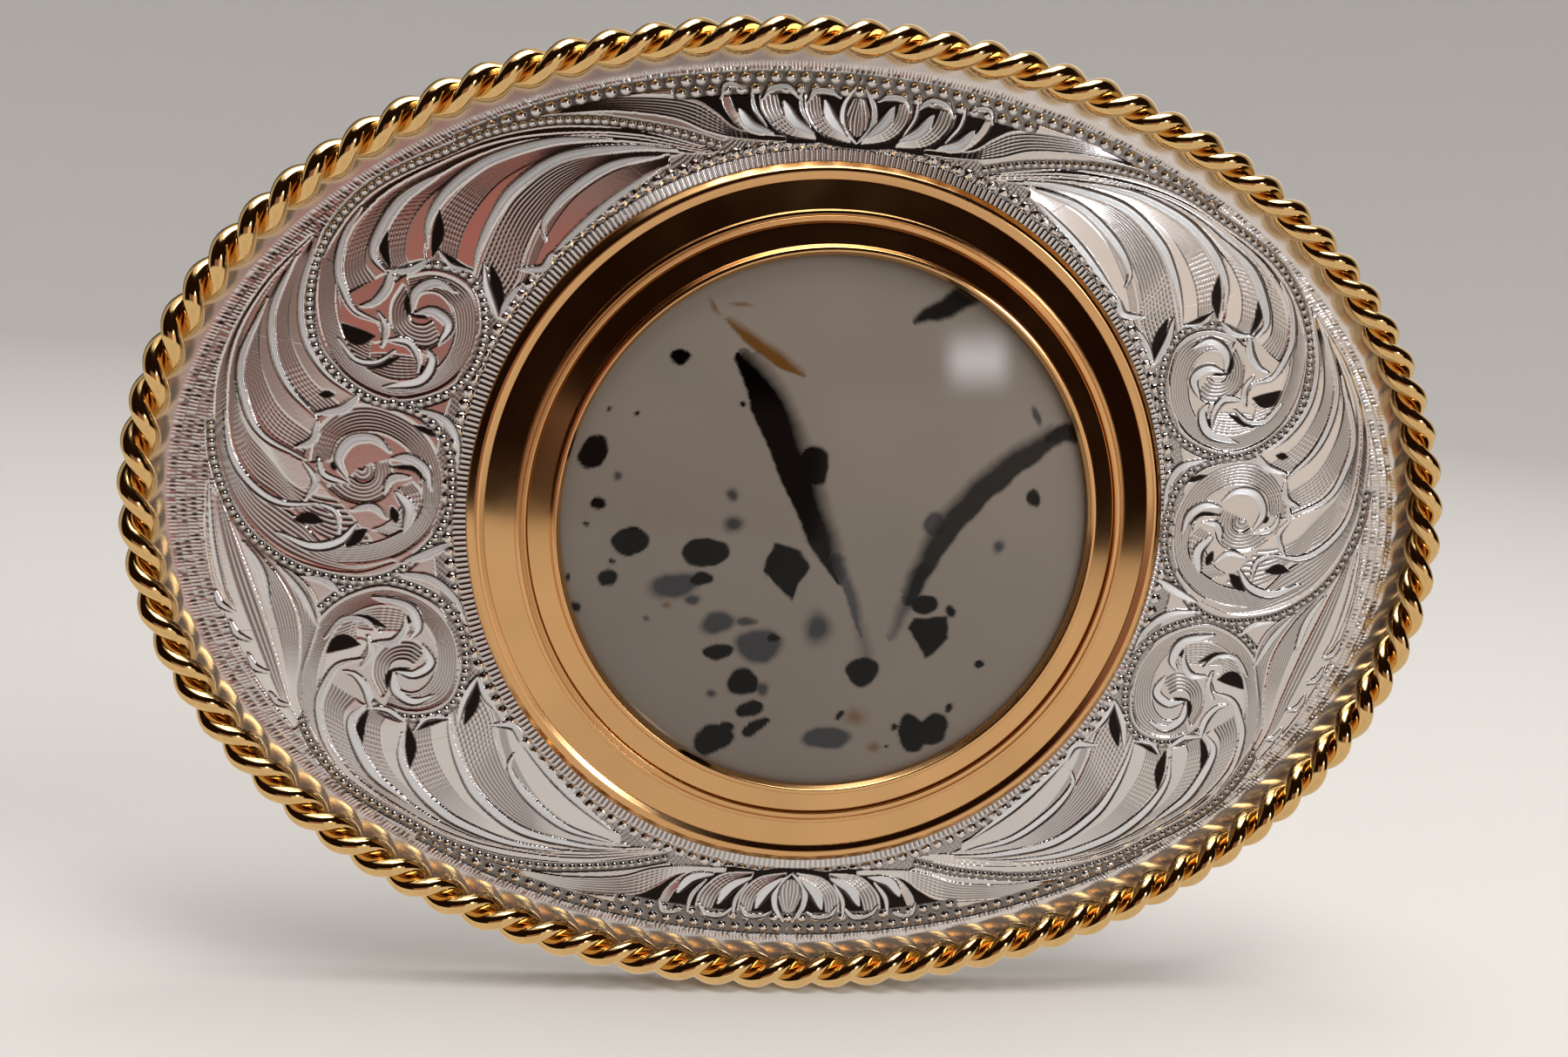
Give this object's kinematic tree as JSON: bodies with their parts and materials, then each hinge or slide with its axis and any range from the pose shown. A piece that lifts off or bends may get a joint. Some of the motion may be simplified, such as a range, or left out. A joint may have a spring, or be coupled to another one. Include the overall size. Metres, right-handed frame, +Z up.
{
  "type": "belt buckle",
  "caption": "Oval western dress buckle: bent engraved plate with a twisted rope edge, a domed dendritic stone in a stepped bezel, and a hinged strap bail and a hook behind.",
  "frame": {"origin": "centre of the whole buckle's bounding box at rest", "axes": "+X along the length towards the bail's end, +Z up as worn, and +Y towards the wearer, so the face looks along -Y"},
  "size_m": [0.098, 0.0166, 0.0704],
  "materials": {
    "engraved_silver": "silver-plated nickel silver, bright-cut engraved and polished",
    "gold_plate": "polished gold plate over jeweller's bronze",
    "raw_brass": "as turned, not seen",
    "pale_backing": "matte setting compound",
    "dendritic_agate": "polished translucent agate with dark mossy inclusions",
    "nickel_fittings": "satin nickel silver",
    "steel_wire": "nickel-plated steel wire"
  },
  "bodies": {
    "buckle": {"face_plate": "engraved_silver", "rope_edge": "gold_plate", "bezel_ring": "gold_plate", "bezel_collet": "gold_plate", "seat_disc": "raw_brass", "stone_backing": "pale_backing", "cabochon": "dendritic_agate", "hinge_bracket": "nickel_fittings", "hook_base": "nickel_fittings", "hook_post": "nickel_fittings"},
    "bail": {"bail_loop": "steel_wire"}
  },
  "joints": [
    {"name": "bail_swivel", "type": "hinge", "parent": "buckle", "child": "bail", "pos_m": [0.018, 0.00073, 0], "axis": [0, 0, 1], "range_deg": [0, 180]}
  ]
}
